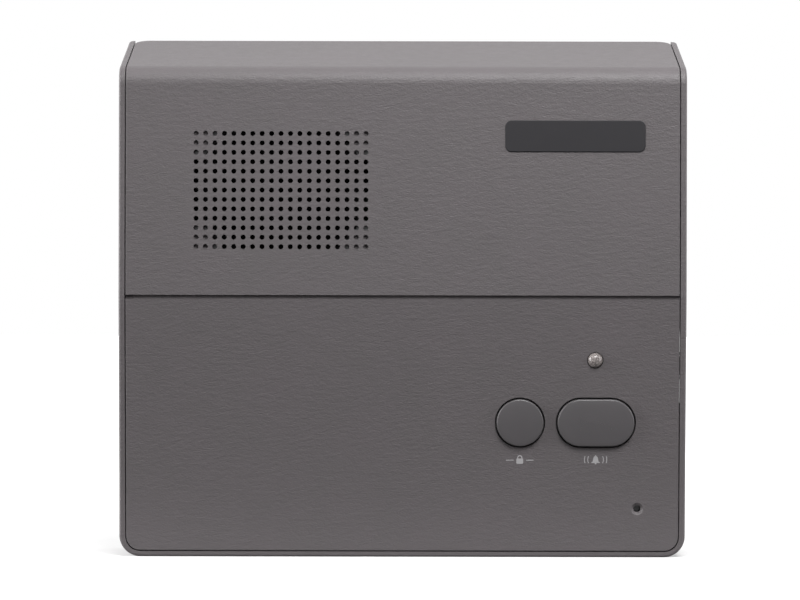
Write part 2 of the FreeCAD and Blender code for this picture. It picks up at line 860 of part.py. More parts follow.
def speaker_dust_cap():
    """A shallow dome over the throat of the cone."""
    throat = cone_front - cone_depth + cone_thick
    radius = (cone_throat_radius ** 2 + cap_rise ** 2) / (2 * cap_rise)
    centre = Vector(speaker_x, speaker_z, throat + cap_rise - radius)
    dome = Part.makeSphere(radius, centre).cut(Part.makeSphere(radius - cone_thick, centre))
    keep = rod(cone_throat_radius, speaker_spot(), throat, throat + cap_rise + past)
    return on_upper(dome.common(keep))


def speaker_gasket():
    return on_upper(ring(speaker_radius, speaker_radius - gasket_width, speaker_spot(),
                         cone_front, -cover_wall))


def tag_places():
    z = speaker_z - speaker_radius - lug_length / 2
    return [(speaker_x + side * tag_spacing / 2, z) for side in (-1, 1)]


def speaker_tags():
    """The two solder tags on the basket's lug."""
    tags = [block(tag_width, tag_length, (x, z), rim_back - tag_thick, rim_back) for x, z in tag_places()]
    return on_upper(Part.makeCompound(tags))


def speaker_clamps():
    outer = speaker_boss_radius + clamp_reach
    inner = board_screw_radius + slip
    return on_upper(Part.makeCompound([
        ring(outer, inner, spot, rim_back - tag_thick, rim_back) for spot in speaker_boss_places()]))


def speaker_screws():
    top = rim_back - tag_thick
    length = speaker_pilot_depth - cover_wall - top - slip
    screw = cross_screw(board_screw_radius, length, board_screw_head, board_screw_head_thick)
    flip = Rotation(Vector(1, 0, 0), 180)
    frames = [Placement(Vector(x, z, top), flip) for x, z in speaker_boss_places()]
    return on_upper(copies(screw, frames))


# ---------------------------------------------------------------- volume control

def wheel_spot():
    return (wheel_x, -wheel_drop)


def volume_wheel():
    x, y = wheel_spot()
    flat = wheel_radius - wheel_bevel
    wheel = revolved([
        (0, wheel_back), (flat, wheel_back), (wheel_radius, wheel_back + wheel_bevel),
        (wheel_radius, -wheel_front - wheel_bevel), (flat, -wheel_front), (0, -wheel_front),
    ], wheel_spot())
    notches = []
    for index in range(wheel_notches):
        turn = 2 * math.pi * (index + 0.5) / wheel_notches
        place = (x + wheel_radius * math.cos(turn), y + wheel_radius * math.sin(turn))
        notches.append(rod(notch_radius, place, wheel_back - past, past - wheel_front))
    bore = rod(shaft_radius + running / 2, wheel_spot(), wheel_back - past, past - wheel_front)
    return on_lower(wheel.cut(Part.makeCompound(notches + [bore])))


def volume_shaft():
    low = board_back - pot_thick + pot_floor + seat_gap
    shaft = rod(shaft_radius, wheel_spot(), low, -wheel_front)
    bore = rod(wheel_screw_radius + running, wheel_spot(), -wheel_front - wheel_screw_length,
               past - wheel_front)
    return on_lower(shaft.cut(bore))


def volume_wheel_screw():
    screw = cross_screw(wheel_screw_radius, wheel_screw_length - slip, wheel_screw_head,
                        wheel_screw_head_thick)
    screw.translate(Vector(*wheel_spot(), -wheel_front))
    return on_lower(screw)


def volume_potentiometer():
    body = rod(pot_radius, wheel_spot(), board_back - pot_thick, board_back)
    bore = rod(shaft_radius + running, wheel_spot(), board_back - pot_thick + pot_floor, board_back + past)
    return on_lower(body.cut(bore))


# ---------------------------------------------------------------- main board

def main_board():
    width = board_right - board_left
    height = board_bottom - board_top
    centre = (board_left + width / 2, -board_top - height / 2)
    board = block(width, height, centre, board_back, board_front)
    low = board_back - past
    high = board_front + past
    holes = [rod(board_screw_radius + slip, (x, -drop), low, high) for x, drop in board_posts]
    holes += [rod(guide_radius + running, spot, low, high) for spot in guide_spots()]
    holes.append(rod(shaft_radius + board_hole_margin, wheel_spot(), low, high))
    side = leg_side + 2 * slip
    for place in leg_places(led_x, led_drop) + leg_places(mic_x, mic_drop):
        holes.append(block(side, side, place, low, high))
    return on_lower(board.cut(Part.makeCompound(holes)))


def board_screws():
    screw = cross_screw(board_screw_radius, board_thick + board_screw_length - seat_gap,
                        board_screw_head, board_screw_head_thick)
    flip = Rotation(Vector(1, 0, 0), 180)
    frames = [Placement(Vector(x, -drop, board_back), flip) for x, drop in board_posts]
    return on_lower(copies(screw, frames))


def transformer_core():
    low = board_front + (coil_thick - core_thick) / 2
    high = low + core_thick
    core = block(core_width, core_height, core_spot, low, high)
    return on_lower(core.cut(block(coil_width, coil_height, core_spot, low - past, high + past)))


def transformer_coil():
    return on_lower(block(coil_width, coil_height, core_spot, board_front, board_front + coil_thick))


def electrolytic_capacitors():
    top = board_front + capacitor_height
    cans = []
    for spot in capacitor_spots:
        can = rod(capacitor_radius, spot, board_front, top)
        bead = board_front + capacitor_bead_height
        groove = ring(capacitor_radius + past, capacitor_radius - capacitor_bead / 2, spot,
                      bead, bead + capacitor_bead)
        can = can.makeFillet(capacitor_bead, edges_where(can, lambda p: near(p.z, top)))
        cans.append(can.cut(groove))
    return on_lower(Part.makeCompound(cans))


def chip(spot, length, pins_per_side):
    """A dual in-line package with its legs let into the sides."""
    body = [block(length, chip_width, spot, board_front + chip_standoff, board_front + chip_thick)]
    for index in range(pins_per_side):
        x = spot[0] + (index - (pins_per_side - 1) / 2) * pin_pitch
        for side in (-1, 1):
            y = spot[1] + side * (chip_width + pin_reach) / 2
            body.append(block(pin_width, pin_reach, (x, y), board_front, board_front + pin_rise))
    return on_lower(fused(body))


def small_resistors():
    """A row of resistors lying on the board on their bent leads."""
    made = []
    height = board_front + resistor_radius + resistor_lead
    for index in range(resistor_count):
        x = last_resistor_x - index * resistor_pitch
        start = Vector(x, -resistors_drop - resistor_length / 2, height)
        body = Part.makeCylinder(resistor_radius, resistor_length, start, Vector(0, 1, 0))
        ends = []
        for side in (-1, 1):
            y = -resistors_drop + side * (resistor_length / 2 + resistor_lead)
            ends.append(block(2 * resistor_lead, 4 * resistor_lead, (x, y), board_front,
                              height + resistor_lead))
        made.append(fused([body] + ends))
    return on_lower(Part.makeCompound(made))


def lead_socket(mouths):
    """A socket drawn with its base on z = 0 and its wire mouths on the +Y side."""
    body = block(socket_width, socket_depth, (0, 0), 0, socket_height)
    for x in mouths:
        start = Vector(x, socket_depth / 2 - socket_mouth, socket_height / 2)
        hole = Part.makeCylinder(lead_radius + slip, socket_mouth + past, start, Vector(0, 1, 0))
        body = body.cut(hole)
    return body


def speaker_mouths():
    return [side * speaker_lead_pitch / 2 for side in (-1, 1)]


def terminal_mouths():
    return [(index - (terminal_count - 1) / 2) * terminal_lead_pitch for index in range(terminal_count)]


def lead_sockets():
    """Sockets on the main board for the speaker and for the terminals, and one at the terminals."""
    speaker = lead_socket(speaker_mouths())
    speaker.translate(Vector(speaker_x, -speaker_socket_drop, board_front))
    terminal = lead_socket(terminal_mouths())
    terminal.rotate(Vector(0, 0, 0), Vector(0, 1, 0), 180)
    terminal.translate(Vector(terminal_socket_x, -terminal_socket_drop, board_back))
    upper = lead_socket(terminal_mouths())
    upper.rotate(Vector(0, 0, 0), Vector(0, 0, 1), 180)
    upper.rotate(Vector(0, 0, 0), Vector(1, 0, 0), 90)
    upper.translate(Vector(0, terminal_board_front, upper_socket_z()))
    return Part.makeCompound([on_lower(speaker), on_lower(terminal), upper])


# ---------------------------------------------------------------- terminals at the back

def upper_socket_z():
    return terminal_z - terminal_board_height / 2 + socket_depth


def terminal_board():
    board = block_y(terminal_board_width, terminal_board_height, 0, terminal_z,
                    terminal_board_front, terminal_board_rear)
    for side in (-1, 1):
        board = board.cut(rod_y(board_screw_radius + slip, side * terminal_boss_spacing / 2, terminal_z,
                                terminal_board_front - past, terminal_board_rear + past))
    return board


def terminal_board_screws():
    screw = cross_screw(board_screw_radius, board_thick + board_screw_length - seat_gap,
                        board_screw_head, board_screw_head_thick)
    turn = Rotation(Vector(1, 0, 0), 90)
    return copies(screw, [Placement(Vector(side * terminal_boss_spacing / 2, terminal_board_front,
                                           terminal_z), turn) for side in (-1, 1)])


def terminal_xs():
    return [(index - (terminal_count - 1) / 2) * terminal_pitch for index in range(terminal_count)]


def terminal_block():
    """A row of screw clamps: screws face the back, wires go in from below."""
    end = terminal_board_rear + terminal_block_depth
    body = block_y(terminal_count * terminal_pitch, terminal_block_height, 0, terminal_z,
                   terminal_board_rear, end)
    foot = terminal_z - terminal_block_height / 2
    cuts = []
    for x in terminal_xs():
        cuts.append(rod_y(terminal_screw_radius + slip, x, terminal_z + terminal_screw_rise,
                          end - terminal_screw_sink - terminal_screw_thick, end + past))
        cuts.append(block_y(wire_mouth, terminal_block_height / 2, x, foot,
                            end - 2 * wire_mouth, end - wire_mouth))
    return body.cut(Part.makeCompound(cuts))


def terminal_screws():
    end = terminal_board_rear + terminal_block_depth - terminal_screw_sink
    screws = []
    for x in terminal_xs():
        z = terminal_z + terminal_screw_rise
        head = rod_y(terminal_screw_radius, x, z, end - terminal_screw_thick, end)
        slot = block_y(2 * terminal_screw_radius, recess_width, x, z, end - recess_depth, end + past)
        screws.append(head.cut(slot))
    return Part.makeCompound(screws)


# ---------------------------------------------------------------- leads

def lead(points):
    """A wire along straight runs joined by tangent arcs, each as large as its runs allow."""
    edges = []
    start = points[0]
    for index in range(1, len(points) - 1):
        corner = points[index]
        before = corner - points[index - 1]
        after = points[index + 1] - corner
        turn = before.getAngle(after)
        shorter = min(before.Length, after.Length)
        cut = bend_share * shorter
        radius = cut / math.tan(turn / 2)
        into = corner - before * (cut / before.Length)
        out = corner + after * (cut / after.Length)
        centre_line = (into + out) * 0.5 - corner
        to_centre = math.hypot(radius, cut)
        centre = corner + centre_line * (to_centre / centre_line.Length)
        towards = corner - centre
        middle = centre + towards * (radius / towards.Length)
        edges.append(Part.LineSegment(start, into).toShape())
        edges.append(Part.Arc(into, middle, out).toShape())
        start = out
    edges.append(Part.LineSegment(start, points[-1]).toShape())
    path = Part.Wire(edges)
    heading = points[1] - points[0]
    section = Part.Wire(Part.makeCircle(lead_radius, points[0], heading))
    return path.makePipeShell([section], True, True)


def s_lead(start, end):
    """A lead that leaves and arrives pointing down, with one gentle bend each way."""
    drop = (start.z - end.z) / 3
    return lead([start, start - Vector(0, 0, drop), end + Vector(0, 0, drop), end])


def lead_end_drop(socket_drop):
    """Just short of the floor of a socket's mouth on the main board."""
    return socket_drop - socket_depth / 2 + socket_mouth - seat_gap


def speaker_leads():
    leads = []
    for (x, z), mouth in zip(tag_places(), speaker_mouths()):
        start = Vector(x, face_y - rim_back + tag_thick + lead_radius + running, z)
        end = lower_point(speaker_x + mouth, lead_end_drop(speaker_socket_drop),
                          board_front + socket_height / 2)
        leads.append(s_lead(start, end))
    return Part.makeCompound(leads)


def terminal_leads():
    leads = []
    for mouth in terminal_mouths():
        start = Vector(mouth, terminal_board_front - socket_height / 2,
                       upper_socket_z() - socket_depth / 2 + socket_mouth)
        end = lower_point(terminal_socket_x + mouth, lead_end_drop(terminal_socket_drop),
                          board_back - socket_height / 2)
        leads.append(s_lead(start, end))
    return Part.makeCompound(leads)


# ---------------------------------------------------------------- all nodes

nodes = {
    "rear_housing": rear_housing,
    "front_cover": front_cover,
    "badge_plate": badge_plate,
    "privacy_button": privacy_button,
    "call_button": call_button,
    "privacy_plunger": lambda: plunger(privacy_x),
    "call_plunger": lambda: plunger(call_x),
    "privacy_switch": lambda: key_switch(privacy_x),
    "call_switch": lambda: key_switch(call_x),
    "privacy_spring": lambda: key_spring(privacy_x),
    "call_spring": lambda: key_spring(call_x),
    "status_led": status_led,
    "led_stand": led_stand,
    "microphone_capsule": microphone_capsule,
    "microphone_boot": microphone_boot,
    "speaker_basket": speaker_basket,
    "speaker_magnet": speaker_magnet,
    "speaker_cone": speaker_cone,
    "speaker_dust_cap": speaker_dust_cap,
    "speaker_gasket": speaker_gasket,
    "speaker_tags": speaker_tags,
    "speaker_clamps": speaker_clamps,
    "speaker_screws": speaker_screws,
    "volume_wheel": volume_wheel,
    "volume_shaft": volume_shaft,
    "volume_wheel_screw": volume_wheel_screw,
    "volume_potentiometer": volume_potentiometer,
    "main_board": main_board,
    "board_screws": board_screws,
    "transformer_core": transformer_core,
    "transformer_coil": transformer_coil,
    "electrolytic_capacitors": electrolytic_capacitors,
    "amplifier_chip": lambda: chip(amplifier_spot, amplifier_length, amplifier_pins_per_side),
    "logic_chip": lambda: chip(logic_spot, logic_length, logic_pins_per_side),
    "small_resistors": small_resistors,
    "lead_sockets": lead_sockets,
    "terminal_board": terminal_board,
    "terminal_board_screws": terminal_board_screws,
    "terminal_block": terminal_block,
    "terminal_screws": terminal_screws,
    "speaker_leads": speaker_leads,
    "terminal_leads": terminal_leads,
    "case_screws": case_screws,
    "rubber_feet": rubber_feet,
}

os.makedirs("parts", exist_ok=True)
for name, make in nodes.items():
    shape = make()
    if not shape.isValid() or not shape.Solids:
        raise ValueError(name + " is not a valid solid")
    shape.exportStep("parts/" + name + ".step")
    print(name, len(shape.Solids), round(shape.Volume, 2))
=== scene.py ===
"""Looks of a teller window intercom: moulded shells with a fine grain, two keys, a lamp and printed marks.

New pieces are drawn in millimetres on one of the two panels of the front cover, as (x, up, outward),
and set down in metres in the case's own frame. The two springs are copies of the part's own.
"""

import json
import math

import bmesh
import bpy
from mathutils import Matrix, Vector


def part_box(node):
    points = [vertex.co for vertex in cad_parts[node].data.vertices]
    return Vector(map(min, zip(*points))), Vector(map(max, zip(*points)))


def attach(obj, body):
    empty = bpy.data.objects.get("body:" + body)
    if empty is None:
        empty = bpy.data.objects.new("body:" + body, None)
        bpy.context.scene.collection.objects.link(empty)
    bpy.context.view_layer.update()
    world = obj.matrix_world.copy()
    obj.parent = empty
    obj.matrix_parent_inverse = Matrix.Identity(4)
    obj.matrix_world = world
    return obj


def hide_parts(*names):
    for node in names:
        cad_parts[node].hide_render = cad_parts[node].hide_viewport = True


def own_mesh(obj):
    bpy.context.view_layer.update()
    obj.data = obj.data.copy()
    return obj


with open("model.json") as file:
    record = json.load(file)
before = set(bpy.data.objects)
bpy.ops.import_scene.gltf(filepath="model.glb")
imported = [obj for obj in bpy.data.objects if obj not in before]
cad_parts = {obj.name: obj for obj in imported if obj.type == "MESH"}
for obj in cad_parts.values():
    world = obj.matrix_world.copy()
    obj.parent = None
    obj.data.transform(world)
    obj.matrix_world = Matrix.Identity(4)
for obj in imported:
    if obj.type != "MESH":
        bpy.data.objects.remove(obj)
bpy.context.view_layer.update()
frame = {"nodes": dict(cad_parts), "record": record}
nodes = frame["nodes"]
slot_of = {part["node"]: part["material_slot"] for part in frame["record"]["subparts"]}

mm = 0.001
panel_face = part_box("front_cover")[0].y
groove_height = 86.2 * mm       # of the groove between the two panels, where the lower one starts to lean
lower_tilt = math.radians(4)
on_upper = (Matrix.Translation((0, panel_face, 0)) @ Matrix.Rotation(math.pi / 2, 4, "X")
            @ Matrix.Scale(mm, 4))
on_lower = (Matrix.Translation((0, panel_face, groove_height))
            @ Matrix.Rotation(math.pi / 2 + lower_tilt, 4, "X") @ Matrix.Scale(mm, 4))


# ---------------------------------------------------------------- camera

camera_away = 1.15
camera_aside = -0.85 * mm
camera_height = 85.37 * mm
camera_roll = math.radians(-0.12)

camera = bpy.data.objects.new("camera", bpy.data.cameras.new("camera"))
bpy.context.scene.collection.objects.link(camera)
bpy.context.scene.camera = camera
camera.data.sensor_width = 36
camera.data.lens = 156.5
camera.data.clip_start = 0.1
camera.data.clip_end = 20
camera.location = (camera_aside, panel_face - camera_away, camera_height)
camera.rotation_euler = (math.pi / 2, camera_roll, 0)
bpy.context.scene.view_settings.view_transform = "Standard"


# ---------------------------------------------------------------- shader nodes

class Wire:
    """One output of a shader node, used as if it were a number."""

    def __init__(self, paint, socket):
        self.paint = paint
        self.socket = socket

    def maths(self, operation, *values):
        return self.paint.node("ShaderNodeMath", {"operation": operation}, dict(enumerate(values)))

    def __add__(self, other):
        return self.maths("ADD", self, other)

    def __sub__(self, other):
        return self.maths("SUBTRACT", self, other)

    def __rsub__(self, other):
        return self.maths("SUBTRACT", other, self)

    def __mul__(self, other):
        return self.maths("MULTIPLY", self, other)

    def __truediv__(self, other):
        return self.maths("DIVIDE", self, other)

    def __gt__(self, other):
        return self.maths("GREATER_THAN", self, other)

    def __lt__(self, other):
        return self.maths("LESS_THAN", self, other)

    def __or__(self, other):
        """The larger of the two."""
        return self.maths("MAXIMUM", self, other)

    __radd__ = __add__
    __rmul__ = __mul__


class Paint:
    """The nodes of one material, or of the world, as they are laid down."""

    def __init__(self, owner):
        owner.use_nodes = True
        self.owner = owner
        self.tree = owner.node_tree
        self.tree.nodes.clear()

    def node(self, kind, settings, sockets, out=0):
        """Adds a node, makes its settings, feeds its sockets and gives back one of its outputs."""
        made = self.tree.nodes.new(kind)
        for name, value in settings.items():
            if name == "stops":
                lay_stops(made.color_ramp, value)
            else:
                setattr(made, name, value)
        for name, value in sockets.items():
            if isinstance(value, Wire):
                self.tree.links.new(value.socket, made.inputs[name])
            else:
                made.inputs[name].default_value = value
        return Wire(self, made.outputs[out]) if len(made.outputs) else made

    def place(self):
        return self.node("ShaderNodeTexCoord", {}, {}, out="Object")

    def axis(self, name, vector):
        return self.node("ShaderNodeSeparateXYZ", {}, {0: vector}, out=name)

    def noise(self, size, detail=2, stretch=(1, 1, 1), roughness=0.5):
        """Soft noise whose lumps are about size millimetres across, from 0 to 1."""
        spot = self.node("ShaderNodeMapping", {}, {"Vector": self.place(), "Scale": stretch})
        return self.node("ShaderNodeTexNoise", {}, {
            "Vector": spot, "Scale": 1 / (size * mm), "Detail": detail, "Roughness": roughness})

    def cells(self, size, feature="F1"):
        """How far a point lies from its cell's middle, or edge, as a share of the cells' size."""
        return self.node("ShaderNodeTexVoronoi", {"feature": feature}, {
            "Vector": self.place(), "Scale": 1 / (size * mm)}, out="Distance")

    def between(self, factor, first, second):
        return self.node("ShaderNodeMix", {"data_type": "RGBA"}, {0: factor, 6: first, 7: second}, out=2)

    def slope(self, value, start, end, low, high):
        """Climbs from low to high while the value goes from start to end, and is level beyond them."""
        return self.node("ShaderNodeMapRange", {}, {
            "Value": value, "From Min": start, "From Max": end, "To Min": low, "To Max": high})

    def ramp(self, factor, stops):
        return self.node("ShaderNodeValToRGB", {"stops": stops}, {0: factor})

    def relief(self, height, depth, under=None):
        """A bump as deep as depth millimetres, on top of the one under it."""
        feeds = {"Strength": 1.0, "Distance": depth * mm, "Height": height}
        if under:
            feeds["Normal"] = under
        return self.node("ShaderNodeBump", {}, feeds)

    def finish(self, feeds):
        surface = self.node("ShaderNodeBsdfPrincipled", {}, feeds)
        self.node("ShaderNodeOutputMaterial", {}, {"Surface": surface})
        return self.owner


def lay_stops(ramp, stops):
    while len(ramp.elements) < len(stops):
        ramp.elements.new(1)
    for element, (position, colour) in zip(ramp.elements, stops):
        element.position = position
        element.color = colour


def shade(red, green, blue):
    """A colour given in display values from 0 to 255."""
    shares = [value / 255 for value in (red, green, blue)]
    linear = [share / 12.92 if share < 0.0404 else ((share + 0.055) / 1.055) ** 2.4 for share in shares]
    return (*linear, 1)


def grey(level):
    return (level, level, level, 1)


def tinted(colour, level):
    return (*[min(value * level, 1) for value in colour[:3]], 1)


def uneven(level, pattern, swing):
    """A number that wanders about its level as the pattern does."""
    return level + (pattern - 0.5) * swing


def new_paint(name):
    return Paint(bpy.data.materials.new(name))


# ---------------------------------------------------------------- finishes

cool_tint = (0.96, 1.025, 0.97)     # what a cooler patch keeps of red, green and blue
pore_level = 0.42                   # noise below this is a pore
speck_spacing = 4.5
speck_size = 0.035                  # as a share of the spacing


def moulded(name, colour, grain=0.3, depth=0.01, roughness=0.4, mottle=0.03, across=1, specks=0.0):
    """Moulded plastic: a fine pebbled grain, a faint drift in colour and sparse pale specks.

    The pebbles are longer than they are high by as many times as across says.
    """
    paint = new_paint(name)
    pebbled = (1 / across, 1, 1)
    drift = paint.noise(22, detail=3)
    cloud = paint.noise(3.5, detail=3)
    pores = paint.noise(grain, stretch=pebbled, roughness=0.6)
    warm = tinted(colour, 1 + mottle)
    cool = tinted([value * kept for value, kept in zip(colour, cool_tint)], 1 - mottle)
    body = paint.between(drift * 0.6 + cloud * 0.4, cool, warm)
    body = paint.between((pores < pore_level) * mottle * 2, body, tinted(colour, 0.8))
    if specks:
        dust = (paint.cells(speck_spacing) < speck_size) * (paint.noise(9) > 1 - specks)
        body = paint.between(dust, body, tinted(colour, 2.6))
    lumps = paint.relief(paint.noise(grain * 3, stretch=pebbled), depth)
    return paint.finish({
        "Base Color": body, "Roughness": uneven(roughness, cloud, 0.12),
        "Normal": paint.relief(pores, depth, under=lumps)})


def metal(name, colour, roughness=0.3, brushed=(1, 1, 1)):
    """Plated or rolled metal with drawn marks and duller patches."""
    paint = new_paint(name)
    marks = paint.noise(0.5, stretch=brushed)
    patches = paint.noise(4, detail=3)
    tarnished = tinted(colour, 0.9)
    return paint.finish({
        "Base Color": paint.between(patches, tarnished, colour), "Metallic": 1.0,
        "Roughness": uneven(roughness, patches, 0.2), "Normal": paint.relief(marks, 0.01)})


def matt(name, colour, grain, depth, roughness=0.8, contrast=0.2, stretch=(1, 1, 1)):
    """Paper, foam, rubber, film, ink or ferrite: one colour with a visible texture."""
    paint = new_paint(name)
    texture = paint.noise(grain, detail=4, stretch=stretch, roughness=0.65)
    body = paint.between(texture, tinted(colour, 1 - contrast), tinted(colour, 1 + contrast))
    return paint.finish({
        "Base Color": body, "Roughness": uneven(roughness, texture, 0.15),
        "Normal": paint.relief(texture, depth)})


def banded(name, axis, low, high, stops):
    """Colours in bands along one axis of the case, from low to high in metres."""
    paint = new_paint(name)
    along = (paint.axis(axis, paint.place()) - low) / (high - low)
    worn = paint.noise(0.8, detail=3)
    body = paint.between(worn * 0.25, paint.ramp(along, stops), grey(0.02))
    return paint.finish({
        "Base Color": body, "Roughness": uneven(0.4, worn, 0.2), "Normal": paint.relief(worn, 0.01)})


def circuit_board(name):
    """Green varnish over copper tracks, with the glass weave showing through."""
    varnish, copper, glass = shade(34, 84, 52), shade(74, 128, 72), shade(22, 60, 38)
    track_width = 0.05
    paint = new_paint(name)
    tracks = paint.cells(3.0, feature="DISTANCE_TO_EDGE")
    weave = paint.noise(0.4, detail=1, stretch=(1, 1, 3))
    body = paint.between((tracks < track_width) * 0.8, varnish, copper)
    body = paint.between(weave * 0.3, body, glass)
    return paint.finish({
        "Base Color": body, "Roughness": 0.3 + weave * 0.15,
        "Normal": paint.relief(tracks | track_width, -0.04)})


def milky_resin(name):
    """The cloudy cast resin of the lamp, with faint swirls."""
    paint = new_paint(name)
    swirl = paint.noise(0.55, detail=4, roughness=0.7)
    cloudy = (swirl - 0.3) * 2.5
    return paint.finish({
        "Base Color": paint.between(cloudy, shade(66, 57, 56), shade(222, 212, 209)),
        "Roughness": 0.06 + swirl * 0.08, "Transmission Weight": 0.4, "IOR": 1.5,
        "Normal": paint.relief(swirl, 0.05)})


resistor_half_length = 3.25 * mm
lowest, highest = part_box("small_resistors")
body_end = 0.5 - resistor_half_length / (highest.z - lowest.z)
tinned = shade(150, 150, 148)
buff = shade(205, 178, 132)
band_width = 0.06
resistor_bands = [(0.0, tinned), (body_end, buff)]
for start, stripe in ((0.24, shade(120, 62, 34)), (0.38, shade(26, 26, 28)), (0.52, shade(176, 40, 32)),
                      (0.76, shade(168, 132, 50))):
    resistor_bands += [(start, stripe), (start + band_width, buff)]
resistor_bands.append((1 - body_end, tinned))

left, right = [corner.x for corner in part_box("terminal_leads")]
lead_colours = [(0.0, shade(150, 36, 30)), (0.3, shade(36, 36, 38)), (0.5, shade(222, 218, 208)),
                (0.75, shade(48, 96, 56))]

case_grey = shade(99, 93, 96)
shell_grain = {"grain": 0.36, "depth": 0.11, "roughness": 0.5, "mottle": 0.05, "across": 2.2}
finishes = {
    "cover_plastic": moulded("cover_plastic", case_grey, specks=0.3, **shell_grain),
    "housing_plastic": moulded("housing_plastic", case_grey, specks=0.2, **shell_grain),
    "badge_plastic": moulded("badge_plastic", shade(42, 40, 44), grain=0.25, depth=0.006, roughness=0.5),
    "key_plastic": moulded("key_plastic", shade(92, 88, 91), depth=0.008, roughness=0.34),
    "wheel_plastic": moulded("wheel_plastic", shade(38, 38, 40)),
    "switch_plastic": moulded("switch_plastic", shade(46, 47, 52), roughness=0.35),
    "plunger_plastic": moulded("plunger_plastic", shade(214, 212, 204), depth=0.005, roughness=0.5),
    "terminal_plastic": moulded("terminal_plastic", shade(52, 112, 74), roughness=0.35),
    "socket_nylon": moulded("socket_nylon", shade(226, 220, 204), depth=0.005),
    "chip_epoxy": moulded("chip_epoxy", shade(36, 36, 38), grain=0.15, roughness=0.6),
    "spring_steel": metal("spring_steel", shade(186, 186, 188), roughness=0.25),
    "screw_steel": metal("screw_steel", shade(176, 176, 178)),
    "basket_steel": metal("basket_steel", shade(150, 148, 146), roughness=0.45, brushed=(1, 4, 1)),
    "capsule_aluminium": metal("capsule_aluminium", shade(190, 190, 192), roughness=0.35),
    "tag_brass": metal("tag_brass", shade(206, 172, 104), roughness=0.35),
    "core_iron": metal("core_iron", shade(98, 96, 96), roughness=0.5, brushed=(1, 9, 1)),
    "rubber_black": matt("rubber_black", shade(34, 34, 35), grain=0.4, depth=0.02),
    "magnet_ferrite": matt("magnet_ferrite", shade(48, 47, 48), grain=0.3, depth=0.02),
    "cone_paper": matt("cone_paper", shade(40, 37, 38), grain=0.5, depth=0.05, stretch=(1, 1, 2)),
    "gasket_foam": matt("gasket_foam", shade(44, 42, 44), grain=0.35, depth=0.08),
    "coil_tape": matt("coil_tape", shade(206, 170, 66), grain=1.5, depth=0.02, roughness=0.35,
                      contrast=0.1, stretch=(1, 1, 6)),
    "can_sleeve": matt("can_sleeve", shade(36, 48, 86), grain=1.2, depth=0.01, roughness=0.3),
    "board_laminate": circuit_board("board_laminate"),
    "lens_resin": milky_resin("lens_resin"),
    "resistor_lacquer": banded("resistor_lacquer", "Z", lowest.z, highest.z, resistor_bands),
    "lead_insulation": banded("lead_insulation", "X", left, right, lead_colours),
}
print_ink = matt("print_ink", shade(168, 166, 168), grain=0.15, depth=0.004, roughness=0.55, contrast=0.06)

for name, node in nodes.items():
    for slot in node.material_slots:
        slot.material = finishes[slot_of[name]]


# ---------------------------------------------------------------- modelling by hand

def begin(name, add, **sizes):
    """Adds a primitive at its size and place, alone and open in edit mode."""
    bpy.ops.object.select_all(action="DESELECT")
    add(**sizes)
    piece = bpy.context.object
    piece.name = name
    piece.data.name = name
    bpy.ops.object.transform_apply(location=True, rotation=True, scale=True)
    bpy.ops.object.mode_set(mode="EDIT")
    return piece


def pick(kind, test):
    """Selects the open piece's points, edges or faces by middle and by normal or direction."""
    bpy.ops.mesh.select_mode(type={"verts": "VERT", "edges": "EDGE", "faces": "FACE"}[kind])
    bpy.ops.mesh.select_all(action="DESELECT")
    mesh = bmesh.from_edit_mesh(bpy.context.object.data)
    for part in getattr(mesh, kind):
        if kind == "verts":
            passes = test(part.co, part.normal)
        elif kind == "edges":
            first, second = [point.co for point in part.verts]
            passes = test((first + second) / 2, (second - first).normalized())
        else:
            passes = test(part.calc_center_median(), part.normal)
        part.select_set(passes)
    bmesh.update_edit_mesh(bpy.context.object.data)


def pick_front():
    """Selects the faces that look straight out of the panel."""
    pick("faces", lambda _, normal: normal.z > 0.9)


def round_corners(radius, segments):
    """Rounds the four edges of a plate that stand square to the panel."""
    pick("edges", lambda _, direction: abs(direction.z) > 0.9)
    bpy.ops.mesh.bevel(offset=radius, segments=segments)


def pull(distance):
    """Extrudes what is picked along the outward axis."""
    bpy.ops.mesh.extrude_region_move(TRANSFORM_OT_translate={"value": (0, 0, distance)})


def add_rod(x, up, radius, back, front, sides):
    bpy.ops.mesh.primitive_cylinder_add(vertices=sides, radius=radius, depth=front - back,
                                        location=(x, up, (back + front) / 2))


def add_block(middle, size):
    bpy.ops.mesh.primitive_cube_add(size=1, location=middle, scale=size)


def add_ring(radius, wire, sides, up=0):
    bpy.ops.mesh.primitive_torus_add(location=(0, up, 0), major_radius=radius, minor_radius=wire,
                                     major_segments=sides, minor_segments=6)


def add_ball(radius, up, sides):
    bpy.ops.mesh.primitive_uv_sphere_add(segments=sides, ring_count=sides // 2, radius=radius,
                                         location=(0, up, 0))


def set_down(piece, panel, body, slot, finish=None, replaces=(), smooth=30):
    """Closes a piece, lays it on its panel in metres and gives it its finish and its body."""
    bpy.ops.object.mode_set(mode="OBJECT")
    piece.matrix_world = panel @ piece.matrix_world
    bpy.ops.object.transform_apply(location=True, rotation=True, scale=True)
    bpy.ops.object.shade_smooth_by_angle(angle=math.radians(smooth))
    piece.data.materials.clear()
    piece.data.materials.append(finish or finishes[slot])
    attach(piece, body)
    if replaces:
        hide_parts(*replaces)


# ---------------------------------------------------------------- keys

key_drop = 41.5                             # from the groove to the keys' middle, down the lower panel
round_key_x = 39.0
oval_key_x = 64.15
key_proud = 1.3
key_edge = 0.42                             # rounding of the cap's edge
crown_rises = (0.115, 0.085, 0.055, 0.025)  # of the crown's rings, from the edge inwards
crown_rings = 4.3                           # a little over their number, to leave a flat in the middle
flange_width = 1.85
flange_front = -2.6
flange_back = -4.0
stem_radius = 3.0
stem_end = -8.0
pin_radius = 1.2
pin_end = -17.6
rod_sides = 24


